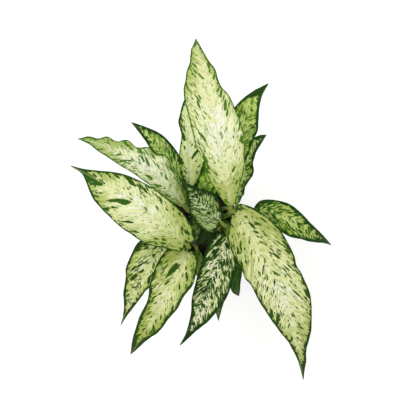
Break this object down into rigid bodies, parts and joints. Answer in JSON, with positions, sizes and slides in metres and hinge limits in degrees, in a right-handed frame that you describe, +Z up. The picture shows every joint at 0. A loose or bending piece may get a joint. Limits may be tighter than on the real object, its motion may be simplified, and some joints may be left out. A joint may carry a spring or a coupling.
{
  "type": "potted dieffenbachia",
  "caption": "Variegated dieffenbachia with cream and green lance-shaped leaves on arching stalks, growing from canes in a plain tapered clay pot",
  "frame": {"origin": "centre of the pot's foot, on the surface that the pot stands on", "axes": "+Z up; +X to the right and +Y to the back as the plant is seen from the front, so the longest leaf points to +Y"},
  "size_m": [0.3459, 0.4511, 0.3622],
  "materials": {
    "clay": "matte",
    "potting_mix": "matte",
    "stalk": "satin",
    "pale_blade": "satin",
    "mottled_blade": "satin",
    "dark_blade": "satin"
  },
  "bodies": {
    "root": {"pot": "clay", "soil": "potting_mix", "stem_right": "stalk", "stem_front": "stalk", "stem_back": "stalk", "leaf_back_main": "pale_blade", "leaf_back_pale": "pale_blade", "leaf_back_dark": "mottled_blade", "leaf_back_small": "mottled_blade", "leaf_left_dark": "mottled_blade", "leaf_left_wavy": "pale_blade", "leaf_left_main": "pale_blade", "leaf_front_low": "pale_blade", "leaf_front_left": "pale_blade", "leaf_front_streaked": "mottled_blade", "leaf_front_plain": "dark_blade", "leaf_front_lowest": "dark_blade", "leaf_right_main": "pale_blade", "leaf_right_dark": "mottled_blade", "leaf_young": "mottled_blade", "leaf_first": "dark_blade", "leaf_middle_dark": "dark_blade", "leaf_front_narrow": "mottled_blade"}
  },
  "joints": []
}
